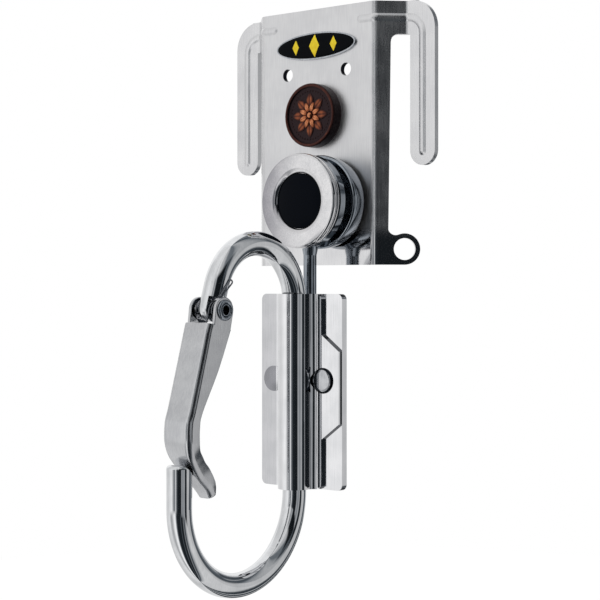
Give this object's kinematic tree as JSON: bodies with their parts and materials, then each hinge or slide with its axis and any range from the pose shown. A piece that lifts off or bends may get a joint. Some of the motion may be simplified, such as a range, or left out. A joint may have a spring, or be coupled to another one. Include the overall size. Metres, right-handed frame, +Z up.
{
  "type": "belt-hung carabiner tool hanger",
  "caption": "Belt plate with two rear fingers, a drum on its face, and a gated rod carabiner riveted in a bracket that swings from the drum and swivels on its shank.",
  "frame": {"origin": "middle of the belt's top edge: the underside of the arms, midway between the plate's back and the fingers' front, midway across the plate", "axes": "+X to the plate's right as seen from the front, +Y back towards the wearer, +Z up"},
  "size_m": [0.0888, 0.0913, 0.196],
  "materials": {
    "polished_sheet": "polished stainless sheet, slightly satin",
    "polished_steel": "mirror polished stainless steel",
    "satin_steel": "satin stainless steel",
    "chrome": "bright chrome",
    "plain_steel": "plain turned steel",
    "dark_steel": "black oxide steel, low sheen",
    "spring_steel": "drawn spring wire",
    "brass": "turned brass",
    "black_enamel": "glossy domed black",
    "yellow_enamel": "glossy yellow",
    "antique_copper": "dark antique copper, stippled ground",
    "copper_highlight": "rubbed copper relief",
    "black_cap": "glossy black cap"
  },
  "bodies": {
    "belt_hanger": {"belt_plate": "polished_sheet", "label_plate": "chrome", "label_enamel": "black_enamel", "label_marks": "yellow_enamel", "concho_body": "antique_copper", "concho_rosette": "copper_highlight", "concho_screw": "plain_steel", "drum_back_washer": "dark_steel", "drum_rear_flange": "polished_steel", "drum_spacer": "dark_steel", "drum_bush": "brass", "drum_front_disc": "satin_steel", "drum_screw": "plain_steel", "drum_rivet_washer": "plain_steel", "drum_cap": "black_cap", "hanger_front_washer": "dark_steel", "hanger_rear_washer": "dark_steel"},
    "hanger": {"hanger_eye": "polished_steel", "shank_collar": "plain_steel", "thrust_washer": "brass"},
    "carabiner": {"bracket_front_cover": "polished_steel", "bracket_middle_plate": "polished_steel", "bracket_rear_cover": "polished_steel", "bracket_rivets": "polished_steel", "carabiner_ring": "polished_steel", "gate_pivot_rivet": "dark_steel", "gate_far_washer": "plain_steel", "gate_spring": "spring_steel"},
    "gate": {"gate_channel": "satin_steel"}
  },
  "joints": [
    {"name": "hanger_swing", "type": "hinge", "parent": "belt_hanger", "child": "hanger", "pos_m": [0.0068, -0.01845, -0.0564], "axis": [0, 1, 0], "range_deg": [-90, 90]},
    {"name": "carabiner_swivel", "type": "hinge", "parent": "hanger", "child": "carabiner", "pos_m": [0.0068, -0.0167, -0.1], "axis": [0, 0, 1], "range_deg": [-40, 40]},
    {"name": "gate_hinge", "type": "hinge", "parent": "carabiner", "child": "gate", "pos_m": [0.0068, -0.06544, -0.0925], "axis": [1, 0, 0], "range_deg": [0, 35], "stiffness_Nm_per_rad": 0.2, "springref_deg": -34.38, "deforming": ["gate_spring"]}
  ]
}
